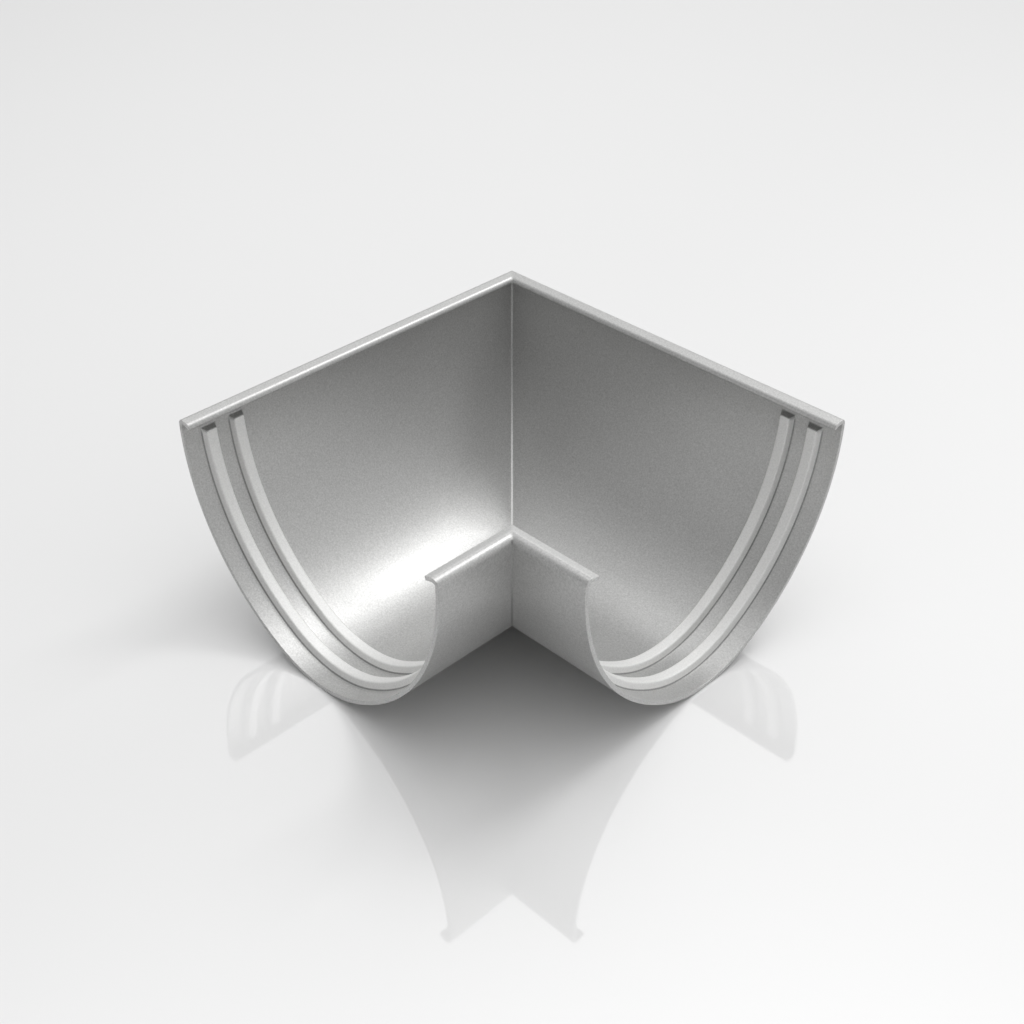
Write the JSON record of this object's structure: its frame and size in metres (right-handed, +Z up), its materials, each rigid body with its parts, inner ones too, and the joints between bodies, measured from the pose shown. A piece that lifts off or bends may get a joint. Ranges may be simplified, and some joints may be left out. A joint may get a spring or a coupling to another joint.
{
  "type": "gutter angle",
  "caption": "External corner angle for a half-round gutter: trough section mitred at 90 degrees, with an inward bead, a back lip and stop ribs near each open end.",
  "frame": {"origin": "on the floor plane under the centre of the bounding box, with the trough's bottom resting at z = 0", "axes": "+Z up; one leg runs towards -Y and the other towards +X from the outer corner at (-X, +Y); the mitre lies in the vertical plane x + y = 0"},
  "size_m": [0.154, 0.154, 0.078],
  "materials": {
    "zinc_coated_steel": "satin hot-dip galvanised, fine grain"
  },
  "bodies": {
    "root": {"gutter_angle": "zinc_coated_steel"}
  },
  "joints": []
}
